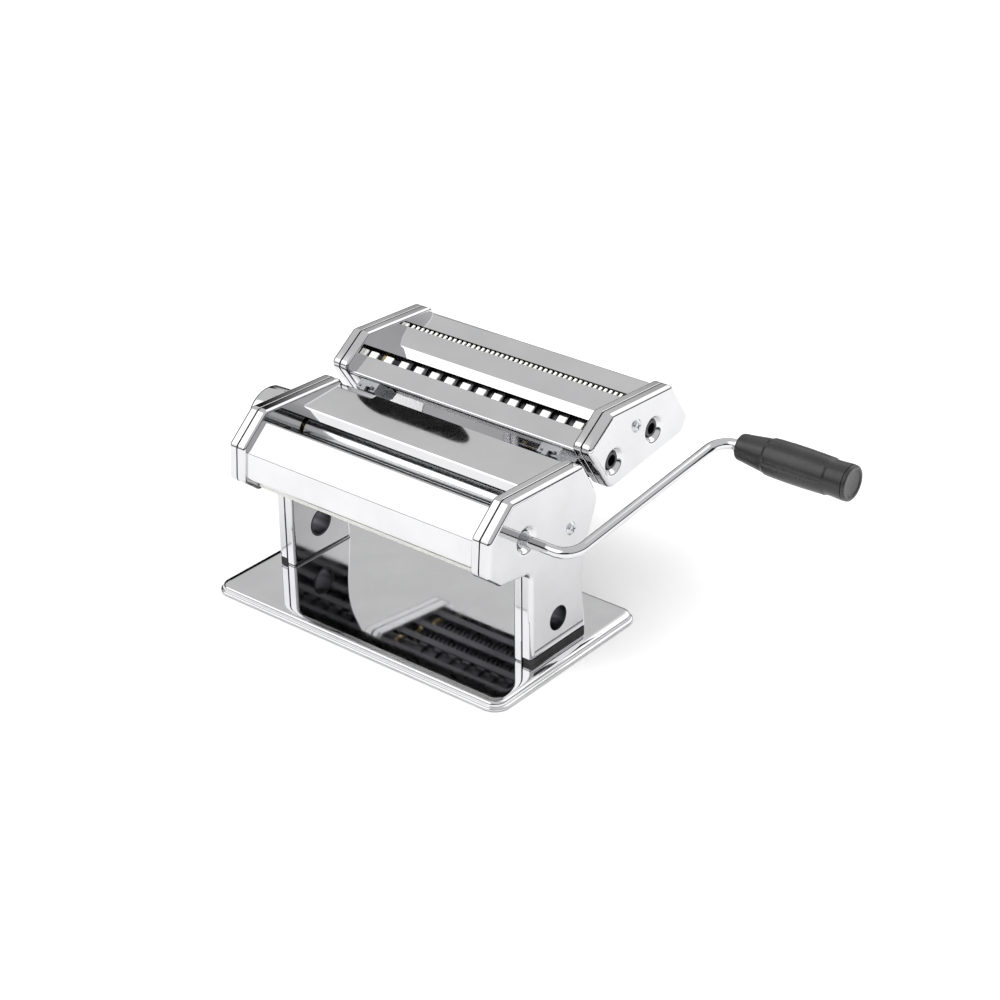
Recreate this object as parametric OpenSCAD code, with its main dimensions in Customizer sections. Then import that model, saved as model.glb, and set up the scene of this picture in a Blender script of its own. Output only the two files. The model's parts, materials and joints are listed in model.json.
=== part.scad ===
// Hand-cranked pasta roller with a lift-off cutter unit.
// X runs along the rollers with the crank at +X, Y from front to back, Z up from the table.
// Side outlines are lists of [y, z, corner radius], counter-clockwise as seen from +X.

/* [Rollers] */
// Length of the smooth rollers
roller_len = 150; // [145:1:155]
// Radius of the smooth rollers
roller_r = 10.75; // [10.5:0.05:10.75]
// Throw of the regulator's eccentrics: the rear roller moves twice this
throw = 1; // [0.6:0.1:1]
// Height of the roller axes above the table
axis_z = 79.8; // [79:0.1:80.5]
// Y of the front roller's axis
front_y = -22.8; // [-23:0.1:-22.6]
// Y of the regulator's axis, behind the front roller
rear_y = 0.1; // [0.1:0.1:0.3]

/* [Frame] */
// Gap between a roller's end and the frame wall
wall_gap = 1.5; // [1.4:0.1:1.6]
// Depth of the gear box, from the frame wall's inner side to the cover's face
box_depth = 11.8; // [11.8:0.1:12.5]
// Sheet thickness of the frame walls
wall_t = 1.5; // [1.5:0.1:1.6]
// Sheet thickness of covers and guards
sheet_t = 0.8; // [0.6:0.1:0.9]
// Radius of the clamp sockets in the feet
clamp_r = 6.9; // [6.5:0.1:7.2]
// Height of the covers' lower edge above the table
cover_z = 7.6; // [7.2:0.1:8]

/* [Base] */
// Width of the base tray along the rollers
base_w = 197.8; // [190:1:205]
// Depth of the base tray from front to back
base_d = 119; // [112:1:125]
// Height of the base tray
base_h = 5; // [4.6:0.1:5.4]
// Corner radius of the base tray
base_r = 9; // [6:1:12]

/* [Crank] */
// Radius of the crank rod
rod_r = 3; // [2.8:0.1:3]
// Distance from the roller axis to the grip axis
crank_throw = 113; // [90:1:120]
// Angle of the crank arm above the horizontal
crank_angle = 12; // [0:1:40]
// Length of the grip
grip_len = 66; // [60:1:70]
// Largest radius of the grip
grip_r = 10.25; // [9.5:0.05:11]

/* [Knob] */
// Radius of the thickness knob
knob_r = 17.7; // [16:0.1:18]
// Length of the knob
knob_len = 19.6; // [19:0.1:21]

/* [Cutter] */
// Radius of the cutter rollers
cutter_r = 8; // [7.9:0.05:8]
// Distance between the two axes of a cutter pair
pair_gap = 14.8; // [14.7:0.05:14.9]
// Width of the wide ribbons
wide_strip = 5.35; // [5.2:0.05:5.5]
// Width of the fine ribbons
fine_strip = 1.65; // [1.6:0.05:1.8]

/* [Hidden] */
$fn = 48;

// Stations along X, the same on both ends and on the cutter unit
wall_x = roller_len / 2 + wall_gap;
wall_out_x = wall_x + wall_t;
cover_x = wall_x + box_depth;
cover_in_x = cover_x - sheet_t;
seam_x = wall_x + 5.5;
seam_gap = 0.2;
gear_x = wall_out_x + 0.4;
gear_w = 6;

// Axes as [y, z]
front_axis = [front_y, axis_z];
rear_axis = [rear_y, axis_z];
rear_open = [rear_y + throw, axis_z];
clamp_axis = [2.7, 23.6];
guard_rod = [-38.5, 66.5];
screw_rod = [13.2, 71];
plate_rod = [18, 94];

// Side outline of the stand from its foot at z: foot, notch under the head, and the head
foot_front_y = -19.2;
foot_back_y = 26.6;
function stand_outline(z) = [
    [foot_front_y, z, 1], [foot_back_y, z, 1.5], [22.2, 46, 50], [36.9, 80, 9], [23.5, 102.7, 3],
    [-33.7, 105, 4], [-51.4, 89.8, 4], [-52.8, 70.6, 4], [-42.2, 62, 3], [foot_front_y, 58.6, 4.5]
];
// Side outline of the cutter unit
cutter_outline = [
    [46.4, 78.8, 6], [109.6, 86.8, 6], [115, 95.2, 4], [99.6, 118.5, 5], [47, 121.3, 4], [27.4, 107.6, 4]
];

// Rails on the stand's back, along which the cutter unit slides up and off
rail_angle = 57.5;
rail_top = [23.5, 102.7];
rail_u = [cos(rail_angle), -sin(rail_angle)];
rail_w = [sin(rail_angle), cos(rail_angle)];
rail_x = 62;
rail_gap = 0.9;
rest_u = 19.5;
hook_w = 6.5;

// Folded sheets, as [y, z] along the outer side
guard_path = [[-31.4, 97.4], [-34.9, 100], [-49.6, 87.2], [-50.8, 72.6], [-46, 68.6]];
plate_path = [[22.6, 100.5], [-8.6, 99.8], [-11.2, 95.2]];
rear_path = [[28.6, 67.4], [34.6, 78.6], on_back(22.5, -rail_gap), on_back(3.5, -rail_gap)];

// Roller gears: long teeth that stay in mesh over the regulator's travel
gear_teeth = 10;
roller_gear = [8.3, 11.45, 13.3, 3.2, 3, 1.1];
cutter_gear = [5.9, 7.4, 8.6, 2.1, 1.94, 0.7];

// Cutter unit: its axes lie on a line that rises to the back
cutter_tilt = 8;
wide_axis = [48.9, 94.4];
fine_axis = [83.2, 99.2];
pair_step = pair_gap * [cos(cutter_tilt), sin(cutter_tilt)];
wide_axis_2 = wide_axis + pair_step;
fine_axis_2 = fine_axis + pair_step;
cutter_rod = [67.8, 107.3];
groove_depth = 1.7;
socket_r = 3.1;
socket_side = 4.6;

// Crank, drawn in the plane of the roller axis and the arm
crank_tip_x = wall_x - 11.5;
crank_square = 4.2;
arm_x = 115.5;
arm_lean = 5.65;
bend_r = 11;
grip_x = 139;
grip_axis = front_axis + crank_throw * [cos(crank_angle), sin(crank_angle)];

// ---------- outlines ----------

function yz(p) = [p[0], p[1]];
function left_normal(a, b) = let (d = b - a) [-d[1], d[0]] / norm(d);
function corner_prev(p, i) = yz(p[(i + len(p) - 1) % len(p)]);
function corner_next(p, i) = yz(p[(i + 1) % len(p)]);

// Corner i of outline p, moved in by d from both its edges, with the radius that keeps the wall even
function inset_corner(p, i, d) =
    let (
        b = yz(p[i]),
        u = left_normal(corner_prev(p, i), b),
        v = left_normal(b, corner_next(p, i)),
        turn = sign(cross(u, v)),
        q = b + d * (u + v) / (1 + u * v)
    )
    [q[0], q[1], max(p[i][2] - turn * d, 0.3)];

function inset(p, d) = [for (i = [0:len(p) - 1]) inset_corner(p, i, d)];

// Points of outline p with its corners rounded
function rounded(p) = [
    for (i = [0:len(p) - 1])
        let (
            b = yz(p[i]),
            u = left_normal(corner_prev(p, i), b),
            v = left_normal(b, corner_next(p, i)),
            turn = sign(cross(u, v)),
            r = p[i][2],
            sweep = atan2(cross(u, v), u * v),
            steps = max(2, ceil(abs(sweep) / 10)),
            centre = b + turn * r * (u + v) / (1 + u * v)
        )
        for (k = [0:steps])
            let (a = sweep * k / steps)
            centre - turn * r * [u[0] * cos(a) - u[1] * sin(a), u[0] * sin(a) + u[1] * cos(a)]
];

// Normal at point i of an open path
function path_normal(p, i) =
    i == 0 ? left_normal(p[0], p[1])
    : i == len(p) - 1 ? left_normal(p[i - 1], p[i])
    : let (u = left_normal(p[i - 1], p[i]), v = left_normal(p[i], p[i + 1])) (u + v) / (1 + u * v);

// Closed outline of a sheet of thickness t, on the left side of path p
function sheet_outline(p, t) = concat(p, [for (i = [len(p) - 1:-1:0]) p[i] + t * path_normal(p, i)]);

// Castellated half profile of a cutter roller, as [radius, station]
function castle(width, first, half) = [
    for (x = [first:2 * width:half - width / 2])
        for (q = [[-1, 0], [-1, 1], [1, 1], [1, 0]])
            let (edge = x + q[0] * (width / 2 - 0.12))
            [q[1] == 1 ? cutter_r : cutter_r - groove_depth, edge]
];

// ---------- shared shapes ----------

// An outline in the YZ plane, swept along X
module sweep_x(x0, x1) {
    translate([x0, 0, 0])
        rotate([90, 0, 90])
            linear_extrude(x1 - x0)
                children();
}

module rod_x(x0, x1, r, axis) {
    translate([x0, axis[0], axis[1]])
        rotate([0, 90, 0])
            cylinder(h = x1 - x0, r = r);
}

// A half profile [radius, x] turned about an axis along X
module turned_x(axis, profile) {
    translate([0, axis[0], axis[1]])
        rotate([0, 90, 0])
            rotate_extrude($fn = 72)
                polygon(profile);
}

module cone_x(x0, x1, r0, r1, axis) {
    translate([x0, axis[0], axis[1]])
        rotate([0, 90, 0])
            cylinder(h = x1 - x0, r1 = r0, r2 = r1);
}

// Draws its children on the right-hand end, or mirrored on the left
module on_side(side) {
    mirror([side < 0 ? 1 : 0, 0, 0])
        children();
}

// A pressed pan: a plate from x0 to x1 and a rim around outline p that runs on to x2
module pan(p, x0, x1, x2, rim_t) {
    sweep_x(x0, x1)
        polygon(rounded(p));
    sweep_x(min(x1, x2), max(x1, x2))
        difference() {
            polygon(rounded(p));
            polygon(rounded(inset(p, rim_t)));
        }
}

module frame_pan(p) {
    pan(p, wall_x, wall_out_x, seam_x - seam_gap, 1.2);
}

module cover_pan(p) {
    sweep_x(cover_in_x, cover_x)
        polygon(rounded(p));
    sweep_x(seam_x + seam_gap, cover_in_x)
        difference() {
            polygon(rounded(p));
            polygon(rounded(inset(p, sheet_t)));
        }
}

// A hole for the crank with a dished lip that leads it in
module dish_lip(axis) {
    turned_x(axis, [
        [5, cover_x - 3], [5, cover_x - 1.6], [7.2, cover_x], [8, cover_x], [8, cover_x - 0.7],
        [5.8, cover_x - 3]
    ]);
}

module dish_hole(axis) {
    rod_x(cover_in_x - 1, cover_x + 1, 7.9, axis);
}

// Spur gear with straight-sided teeth: size = [root r, pitch r, tip r, root w, pitch w, tip w]
module spur_gear(axis, size, bore_r, phase) {
    flank = [for (k = [0:2]) [size[k], asin(size[k + 3] / 2 / size[k])]];
    tooth = concat([for (k = [0:2]) [flank[k][0], -flank[k][1]]], [for (k = [2:-1:0]) flank[k]]);
    difference() {
        translate([gear_x, axis[0], axis[1]])
            rotate([90, 0, 90])
                linear_extrude(gear_w)
                    polygon([
                        for (n = [0:gear_teeth - 1], q = tooth)
                            let (a = phase + 360 / gear_teeth * n + q[1])
                            q[0] * [cos(a), sin(a)]
                    ]);
        rod_x(gear_x - 1, gear_x + gear_w + 1, bore_r, axis);
    }
}

// Round bore and square socket that take the crank's tip
module crank_socket(axis) {
    rod_x(crank_tip_x + 8, cover_x, socket_r, axis);
    translate([crank_tip_x - 1, axis[0], axis[1]])
        rotate([crank_angle, 0, 0])
            translate([0, -socket_side / 2, -socket_side / 2])
                cube([10, socket_side, socket_side]);
}

// Pan-head screw with a cross recess, its head outwards of x
module pan_screw(x, axis, shank_len) {
    difference() {
        union() {
            rod_x(x - shank_len, x, 1.5, axis);
            cone_x(x, x + 1.3, 3.7, 2.7, axis);
        }
        for (turn = [0, 90])
            translate([x + 0.6, axis[0], axis[1]])
                rotate([turn, 0, 0])
                    translate([0, -1.8, -0.35])
                        cube([2, 3.6, 0.7]);
    }
}

// ---------- base ----------

module tray_block(inset_by, z0, z1) {
    translate([0, 0, z0])
        linear_extrude(z1 - z0)
            polygon(rounded(inset([
                [-base_w / 2, -base_d / 2, base_r], [base_w / 2, -base_d / 2, base_r],
                [base_w / 2, base_d / 2, base_r], [-base_w / 2, base_d / 2, base_r]
            ], inset_by)));
}

module at_base_screws() {
    for (side = [-1, 1], y = [-9, 16])
        translate([side * (wall_x + 3.4), y, 0])
            children();
}

module base_tray() {
    color("silver")
        difference() {
            union() {
                tray_block(0, 0.4, 2.4);
                tray_block(1.4, 2.4, 3.8);
                tray_block(2.8, 3.8, base_h);
            }
            tray_block(1.2, 0.3, 1.4);
            tray_block(2.6, 1.3, 2.8);
            tray_block(4, 2.7, base_h - 1);
            at_base_screws()
                cylinder(h = 20, r = 1.6);
        }
}

module non_slip_pad() {
    color("dimgray")
        difference() {
            tray_block(6, 0, base_h - 1);
            at_base_screws()
                translate([0, 0, -1])
                    cylinder(h = 20, r = 4);
        }
}

module base_screws() {
    color("gray")
        at_base_screws() {
            translate([0, 0, base_h - 3])
                cylinder(h = 2, r = 3.2);
            translate([0, 0, base_h - 1])
                cylinder(h = 4.5, r = 1.5);
        }
}

// Dark strip that fills the gap between a cover's lower edge and the tray
module foot_strips() {
    inset_y = 0.9;
    strip_len = foot_back_y - foot_front_y - 2 * inset_y;
    color("dimgray")
        for (side = [-1, 1])
            on_side(side)
                translate([seam_x + seam_gap, foot_front_y + inset_y, base_h])
                    cube([cover_x - seam_x - 0.9, strip_len, cover_z - base_h]);
}

// ---------- stand ----------

module frame_cuts() {
    rod_x(wall_x - 1, wall_out_x + 1, 7, front_axis);
    rod_x(wall_x - 1, wall_out_x + 1, clamp_r + 1.3, clamp_axis);
    for (axis = [guard_rod, screw_rod, plate_rod])
        rod_x(wall_x - 1, wall_out_x + 1, 2.05, axis);
    for (y = [-9, 16])
        translate([wall_x + 3.4, y, base_h - 1])
            cylinder(h = 4, r = 1.6);
}

module stand_frame() {
    difference() {
        frame_pan(stand_outline(base_h));
        frame_cuts();
    }
}

module frame_left() {
    color("gainsboro")
        on_side(-1)
            difference() {
                stand_frame();
                translate([wall_x - 1, rear_y - block_y - throw - 0.4, axis_z - block_z - 0.05])
                    cube([wall_t + 2, 2 * (block_y + throw + 0.4), 2 * (block_z + 0.05)]);
            }
}

module frame_right() {
    color("gainsboro")
        difference() {
            stand_frame();
            rod_x(wall_x - 1, wall_out_x + 1, neck_r + throw + 0.5, rear_axis);
        }
}

module stand_cover(screw_axis) {
    difference() {
        cover_pan(stand_outline(cover_z));
        rod_x(cover_in_x - 1, cover_x + 1, clamp_r, clamp_axis);
        rod_x(cover_in_x - 1, cover_x + 1, 1.6, screw_axis);
        children();
    }
}

module cover_right() {
    color("silver") {
        stand_cover(screw_rod)
            dish_hole(front_axis);
        dish_lip(front_axis);
    }
}

module cover_left() {
    color("silver")
        on_side(-1)
            stand_cover(plate_rod)
                rod_x(cover_in_x - 1, cover_x + 1, bearing_r, rear_axis);
}

module cover_screws() {
    color("gray") {
        pan_screw(cover_x, screw_rod, 3.6);
        on_side(-1)
            pan_screw(cover_x, plate_rod, 6);
    }
}

module clamp_bushes() {
    color("gray")
        for (side = [-1, 1])
            on_side(side)
                difference() {
                    rod_x(wall_x, cover_in_x, clamp_r + 1.3, clamp_axis);
                    rod_x(wall_x - 1, cover_x, clamp_r, clamp_axis);
                }
}

// Shouldered rod between the walls; a long end takes the cover's screw
module tie_rod(axis, r, end_x) {
    difference() {
        union() {
            rod_x(-wall_x, wall_x, r, axis);
            rod_x(-end_x, end_x, 2, axis);
        }
        for (side = [-1, 1])
            on_side(side)
                rod_x(cover_in_x - 8, cover_x, 1.5, axis);
    }
}

module tie_rods() {
    color("gray") {
        tie_rod(guard_rod, 3, wall_out_x + 1);
        tie_rod(plate_rod, 3, cover_in_x);
        tie_rod(screw_rod, 2.6, wall_out_x + 0.2);
    }
}

module folded_sheet(path, t) {
    sweep_x(-wall_x, wall_x)
        polygon(sheet_outline(path, t));
}

module front_guard() {
    color("whitesmoke")
        folded_sheet(guard_path, sheet_t);
}

module slide_plate() {
    color("silver")
        folded_sheet(plate_path, sheet_t);
}

module rear_cover() {
    color("silver")
        folded_sheet(rear_path, sheet_t);
}

// Blade on a tie rod, its edge just clear of a roller
module scraper(rod, hub_r, rod_bore, edge) {
    difference() {
        union() {
            rod_x(-wall_x + 1, wall_x - 1, hub_r, rod);
            sweep_x(-roller_len / 2 + 1, roller_len / 2 - 1)
                polygon([rod + [0, -1], edge + [0, -0.7], edge, rod + [0, 1]]);
        }
        rod_x(-wall_x, wall_x, rod_bore, rod);
    }
}

module front_scraper() {
    color("white")
        scraper(guard_rod, 4.3, 3.05, [front_y - 4.2, axis_z - 10.8]);
}

module rear_scraper() {
    color("white")
        scraper(screw_rod, 3.7, 2.65, [rear_y + throw + 4.2, axis_z - 10.8]);
}

// Solid at a place [u, w] on the sloping back, u down the slope and w away from it
function on_back(u, w) = rail_top + u * rail_u + w * rail_w;

module back_block(u0, u1, w0, w1, x0, x1) {
    sweep_x(x0, x1)
        polygon([on_back(u0, w0), on_back(u1, w0), on_back(u1, w1), on_back(u0, w1)]);
}

module cutter_rails() {
    color("silver")
        for (side = [-1, 1])
            translate([side * rail_x, 0, 0]) {
                back_block(2.2, rest_u + 0.5, -rail_gap, 2.6, -1.5, 1.5);
                back_block(2.2, rest_u + 0.5, 2.1, 3.4, -4.5, 4.5);
                back_block(rest_u, rest_u + 1.5, -rail_gap, 5, -6, 6);
            }
}

// ---------- smooth rollers ----------

shaft_r = 5;
tube_r = 8.5;

module front_roller() {
    color("silver")
        turned_x(front_axis, [
            [tube_r, -roller_len / 2], [roller_r, -roller_len / 2], [roller_r, roller_len / 2],
            [tube_r, roller_len / 2]
        ]);
}

module drive_shaft() {
    plug_x = roller_len / 2 - 13;
    end_x = roller_len / 2;
    left_x = wall_out_x + 2.5;
    right_x = cover_in_x - 0.9;
    tip_r = 4.4;
    color("gray")
        difference() {
            turned_x(front_axis, [
                [0, -left_x], [shaft_r, -left_x], [shaft_r, -end_x], [tube_r, -end_x],
                [tube_r, -plug_x], [shaft_r, -plug_x], [shaft_r, plug_x], [tube_r, plug_x],
                [tube_r, end_x], [shaft_r, end_x], [shaft_r, gear_x + gear_w], [tip_r, gear_x + gear_w],
                [tip_r, right_x], [0, right_x]
            ]);
            crank_socket(front_axis);
        }
}

module front_roller_gear() {
    color("dimgray")
        spur_gear(front_axis, roller_gear, shaft_r, 0);
}

module front_bushes() {
    color("goldenrod")
        for (side = [-1, 1])
            on_side(side)
                turned_x(front_axis, [
                    [shaft_r + 0.05, wall_x - 1.2], [8.2, wall_x - 1.2], [8.2, wall_x],
                    [7, wall_x], [7, wall_out_x + 0.2], [shaft_r + 0.05, wall_out_x + 0.2]
                ]);
}

// The rear roller turns on two slide blocks and carries its gear on a neck
bore_r = 5.55;
neck_r = 6.7;
block_spigot_r = bore_r - 0.05;
block_y = 7.5;
block_z = 6.5;
bearing_r = 8;

module rear_roller() {
    color("silver")
        turned_x(rear_open, [
            [bore_r, -roller_len / 2], [roller_r, -roller_len / 2], [roller_r, roller_len / 2],
            [neck_r, roller_len / 2], [neck_r, gear_x + gear_w], [bore_r, gear_x + gear_w]
        ]);
}

module rear_roller_gear() {
    color("dimgray")
        spur_gear(rear_open, roller_gear, neck_r, 180 / gear_teeth);
}

cam_r = 3.05;
core_r = 1.75;
journal_r = 4;

// Upright slot in which an eccentric turns while it pushes the block along Y
module eccentric_slot(x0, x1) {
    slot_r = cam_r + 0.3;
    for (z = [-throw, throw])
        rod_x(x0, x1, slot_r, rear_open + [0, z]);
    translate([x0, rear_open[0] - slot_r, rear_open[1] - throw])
        cube([x1 - x0, 2 * slot_r, 2 * throw]);
}

// Block with a spigot inside the roller from x0 to x1 and a square head from x2 to x3
module slide_block(x0, x1, x2, x3) {
    difference() {
        union() {
            rod_x(x0, x2, block_spigot_r, rear_open);
            if (x2 > x1)
                rod_x(x1, x2, 8, rear_open);
            translate([x2, rear_open[0] - block_y, rear_open[1] - block_z])
                cube([x3 - x2, 2 * block_y, 2 * block_z]);
        }
        eccentric_slot(x0 - 1, x3 + 1);
    }
}

module slide_block_left() {
    color("goldenrod")
        on_side(-1)
            slide_block(wall_x - 11, wall_x - 1.3, wall_x - 0.1, wall_out_x);
}

module slide_block_right() {
    head_x = gear_x + gear_w + 0.3;
    color("goldenrod")
        slide_block(wall_x - 6, head_x, head_x, head_x + 1.2);
}

// ---------- regulator ----------

knob_in_x = cover_x + 2.7;
knob_out_x = knob_in_x + knob_len - 0.3;
web_x = knob_in_x + 8;
spindle_r = 2.5;

module regulator_shaft() {
    cam_axis = rear_axis + [throw, 0];
    head_x = gear_x + gear_w + 0.3;
    color("gray") {
        rod_x(-wall_out_x - 0.3, cover_in_x - 0.1, core_r, rear_axis);
        rod_x(wall_x - 6, head_x + 1.2, cam_r, cam_axis);
        on_side(-1) {
            rod_x(wall_x - 11, wall_out_x, cam_r, cam_axis);
            rod_x(wall_out_x + 0.3, web_x - 0.5, journal_r, rear_axis);
            rod_x(web_x - 0.5, web_x + 8, spindle_r, rear_axis);
            rod_x(web_x + 8, web_x + 9, 4.6, rear_axis);
        }
        rod_x(-wall_out_x - 0.3, -wall_out_x, cam_r, cam_axis);
    }
}

module regulator_bearing() {
    color("goldenrod")
        on_side(-1)
            turned_x(rear_axis, [
                [journal_r + 0.05, wall_out_x + 2], [bearing_r + 1.5, wall_out_x + 2],
                [bearing_r + 1.5, cover_in_x], [bearing_r, cover_in_x],
                [bearing_r, cover_x + 0.4], [journal_r + 0.05, cover_x + 0.4]
            ]);
}

// Ring of dimples that the knob's pin drops into
module index_ring() {
    color("silver")
        on_side(-1)
            difference() {
                rod_x(cover_x, cover_x + 1.6, 15.5, rear_axis);
                rod_x(cover_x - 1, cover_x + 3, bearing_r + 0.1, rear_axis);
                for (n = [0:9])
                    translate([cover_x + 1.1, rear_y, axis_z])
                        rotate([18 * n, 0, 0])
                            translate([0, 12, 0])
                                rotate([0, 90, 0])
                                    cylinder(h = 2, r = 1.3);
            }
}

// Plate inside the right cover: holds the shaft's tip, guides the right block and takes the cover's screw
module shaft_end_guide() {
    head_x = gear_x + gear_w + 0.3;
    plate_t = cover_in_x - head_x + 0.2;
    color("gray")
        difference() {
            union() {
                translate([head_x - 0.2, rear_y - 10, axis_z - 9])
                    cube([plate_t, 20, 18]);
                translate([head_x - 0.2, rear_y + 8, screw_rod[1] - 2])
                    cube([plate_t, screw_rod[0] - rear_y - 8, 5]);
                rod_x(head_x - 0.2, cover_in_x, 3.2, screw_rod);
            }
            rod_x(head_x - 1, cover_x, 1.5, screw_rod);
            translate([head_x - 1, rear_y - block_y - throw - 0.4, axis_z - block_z - 0.05])
                cube([2.4, 2 * (block_y + throw + 0.4), 2 * (block_z + 0.05)]);
            rod_x(head_x - 1, cover_x, core_r + 0.05, rear_axis);
        }
}

module regulator_knob() {
    color("silver")
        on_side(-1)
            turned_x(rear_axis, [
                [spindle_r + 0.05, web_x], [5.5, web_x], [5.5, web_x + 0.2], [knob_r - 1.6, web_x + 0.2],
                [knob_r - 1.6, knob_in_x], [knob_r, knob_in_x], [knob_r, knob_out_x - 2.5],
                [knob_r - 0.8, knob_out_x - 0.8], [knob_r - 2.5, knob_out_x],
                [knob_r - 3.4, knob_out_x], [knob_r - 3.4, web_x + 1.7], [spindle_r + 0.05, web_x + 1.7]
            ]);
}

module knob_cap() {
    color("silver")
        on_side(-1)
            turned_x(rear_axis, [
                [0, knob_out_x - 1.6], [knob_r - 3.4, knob_out_x - 1.6], [knob_r - 3.4, knob_out_x - 0.4],
                [knob_r - 6, knob_out_x], [0, knob_out_x + 0.3]
            ]);
}

module knob_pin() {
    color("gray")
        on_side(-1)
            rod_x(cover_x + 1.8, web_x + 0.2, 1, rear_axis + [12, 0]);
}

// A tube through rings of points that all have the same count
module swept_tube(rings) {
    sides = len(rings[0]);
    last = len(rings) - 1;
    polyhedron(
        points = [for (ring = rings, q = ring) q],
        faces = concat(
            [[for (s = [0:sides - 1]) s]],
            [for (k = [0:last - 1], s = [0:sides - 1])
                let (t = (s + 1) % sides)
                [k * sides + s, (k + 1) * sides + s, (k + 1) * sides + t, k * sides + t]],
            [[for (s = [sides - 1:-1:0]) last * sides + s]]
        )
    );
}

module knob_spring() {
    coil_r = 3.9;
    wire_r = 0.35;
    turns = 3;
    coil_x = web_x + 2.1;
    coil_len = 5.5;
    steps = 16 * turns;
    color("gray")
        swept_tube([
            for (k = [0:steps])
                [for (s = [0:5])
                    let (
                        a = 360 * turns * k / steps,
                        b = 60 * s,
                        r = coil_r + wire_r * cos(b),
                        x = coil_x + coil_len * k / steps + wire_r * sin(b)
                    )
                    [-x, rear_y + r * cos(a), axis_z + r * sin(a)]]
        ]);
}

// ---------- crank ----------

// Places its children in the crank's plane: X along the roller axis, Y along the arm
module crank_plane() {
    translate([0, front_axis[0], front_axis[1]])
        rotate([crank_angle, 0, 0])
            children();
}

// Round bend about a centre in the crank's plane; its ends run on a little inside the straight rods
module bend(centre, start, sweep) {
    steps = 10;
    sides = 24;
    overlap = 0.5;
    tube_r = rod_r - 0.03;
    swept_tube([
        for (k = [-1:steps + 1])
            let (
                a = start + sweep * min(max(k, 0), steps) / steps,
                run_on = k < 0 ? -overlap : k > steps ? overlap : 0
            )
            [for (s = [0:sides - 1])
                let (b = -360 * s / sides, r = bend_r + tube_r * cos(b))
                [
                    centre[0] + r * cos(a) - run_on * sin(a),
                    centre[1] + r * sin(a) + run_on * cos(a),
                    tube_r * sin(b)
                ]]
    ]);
}

module rod_between(a, b) {
    d = b - a;
    translate([a[0], a[1], 0])
        rotate([0, 90, atan2(d[1], d[0])])
            cylinder(h = norm(d), r = rod_r);
}

module crank_rod() {
    turn = 90 - arm_lean;
    back = bend_r * tan(turn / 2);
    elbow = [arm_x, 0];
    wrist = elbow + crank_throw / sin(turn) * [cos(turn), sin(turn)];
    along = [cos(turn), sin(turn)];
    end_x = grip_x + grip_len - 6;
    color("silver")
        crank_plane() {
            rod_between([crank_tip_x + 8.2, 0], elbow - [back, 0]);
            translate([crank_tip_x, -crank_square / 2, -crank_square / 2])
                cube([9, crank_square, crank_square]);
            bend([elbow[0] - back, bend_r], -90, turn);
            rod_between(elbow + back * along, wrist - back * along);
            bend([wrist[0] + back, wrist[1] - bend_r], 90, turn);
            rod_between(wrist + [back, 0], [end_x, wrist[1]]);
            translate([grip_x - 1.8, wrist[1], 0])
                rotate([0, 90, 0])
                    cylinder(h = 1.5, r = 4.4);
        }
}

module grip_turned(profile) {
    crank_plane()
        translate([0, crank_throw, 0])
            rotate([0, 90, 0])
                rotate_extrude($fn = 72)
                    polygon(profile);
}

module crank_washer() {
    end_x = grip_x + grip_len - 6;
    color("gray")
        grip_turned([[rod_r, end_x - 1.5], [5.2, end_x - 1.5], [5.2, end_x], [rod_r, end_x]]);
}

module crank_grip() {
    out_x = grip_x + grip_len - 2;
    seat_x = grip_x + grip_len - 8;
    color("#1c1c1e")
        grip_turned([
            [rod_r + 0.05, grip_x], [6.6, grip_x], [7.3, grip_x + 1], [8, grip_x + 8], [9.2, grip_x + 16],
            [grip_r, grip_x + 25], [grip_r, grip_x + 40], [9.9, grip_x + 52], [9.6, out_x],
            [5.8, out_x], [5.8, seat_x], [rod_r + 0.05, seat_x]
        ]);
}

module grip_cap() {
    out_x = grip_x + grip_len - 2;
    color("#1c1c1e")
        grip_turned([
            [0, out_x - 1.5], [5.8, out_x - 1.5], [5.8, out_x], [9.6, out_x], [9.3, out_x + 1.5],
            [8.6, out_x + 2], [0, out_x + 2]
        ]);
}

// ---------- cutter unit ----------

module at_cutter_axes() {
    for (axis = [wide_axis, wide_axis_2, fine_axis, fine_axis_2])
        translate([0, axis[0], axis[1]])
            children();
}

module cutter_frame() {
    color("gainsboro")
        difference() {
            frame_pan(cutter_outline);
            at_cutter_axes()
                rod_x(wall_x - 1, wall_out_x + 1, 5.6, [0, 0]);
            rod_x(wall_x - 1, wall_out_x + 1, 2.05, cutter_rod);
        }
}

module cutter_frame_right() {
    cutter_frame();
}

module cutter_frame_left() {
    on_side(-1)
        cutter_frame();
}

module cutter_cover_right() {
    color("silver") {
        difference() {
            cover_pan(cutter_outline);
            dish_hole(wide_axis);
            dish_hole(fine_axis);
            rod_x(cover_in_x - 1, cover_x + 1, 1.6, cutter_rod);
        }
        dish_lip(wide_axis);
        dish_lip(fine_axis);
    }
}

module cutter_cover_left() {
    color("silver")
        on_side(-1)
            difference() {
                cover_pan(cutter_outline);
                rod_x(cover_in_x - 1, cover_x + 1, 1.6, cutter_rod);
            }
}

module cutter_screws() {
    color("gray")
        for (side = [-1, 1])
            on_side(side)
                pan_screw(cover_x, cutter_rod, 6);
}

module cutter_tie_rods() {
    color("gray")
        tie_rod(cutter_rod, 2.6, cover_in_x);
}

// Folded sheet with a row of notches, pitch apart, cut through its edge between two [y, z] points
module comb_sheet(path, from, to, pitch, gap) {
    count = floor((2 * wall_x - 8) / pitch);
    difference() {
        folded_sheet(path, sheet_t);
        for (n = [0:count - 1])
            translate([(n - (count - 1) / 2) * pitch - gap / 2, min(from[0], to[0]), min(from[1], to[1])])
                cube([gap, abs(to[0] - from[0]), abs(to[1] - from[1])]);
    }
}

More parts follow.
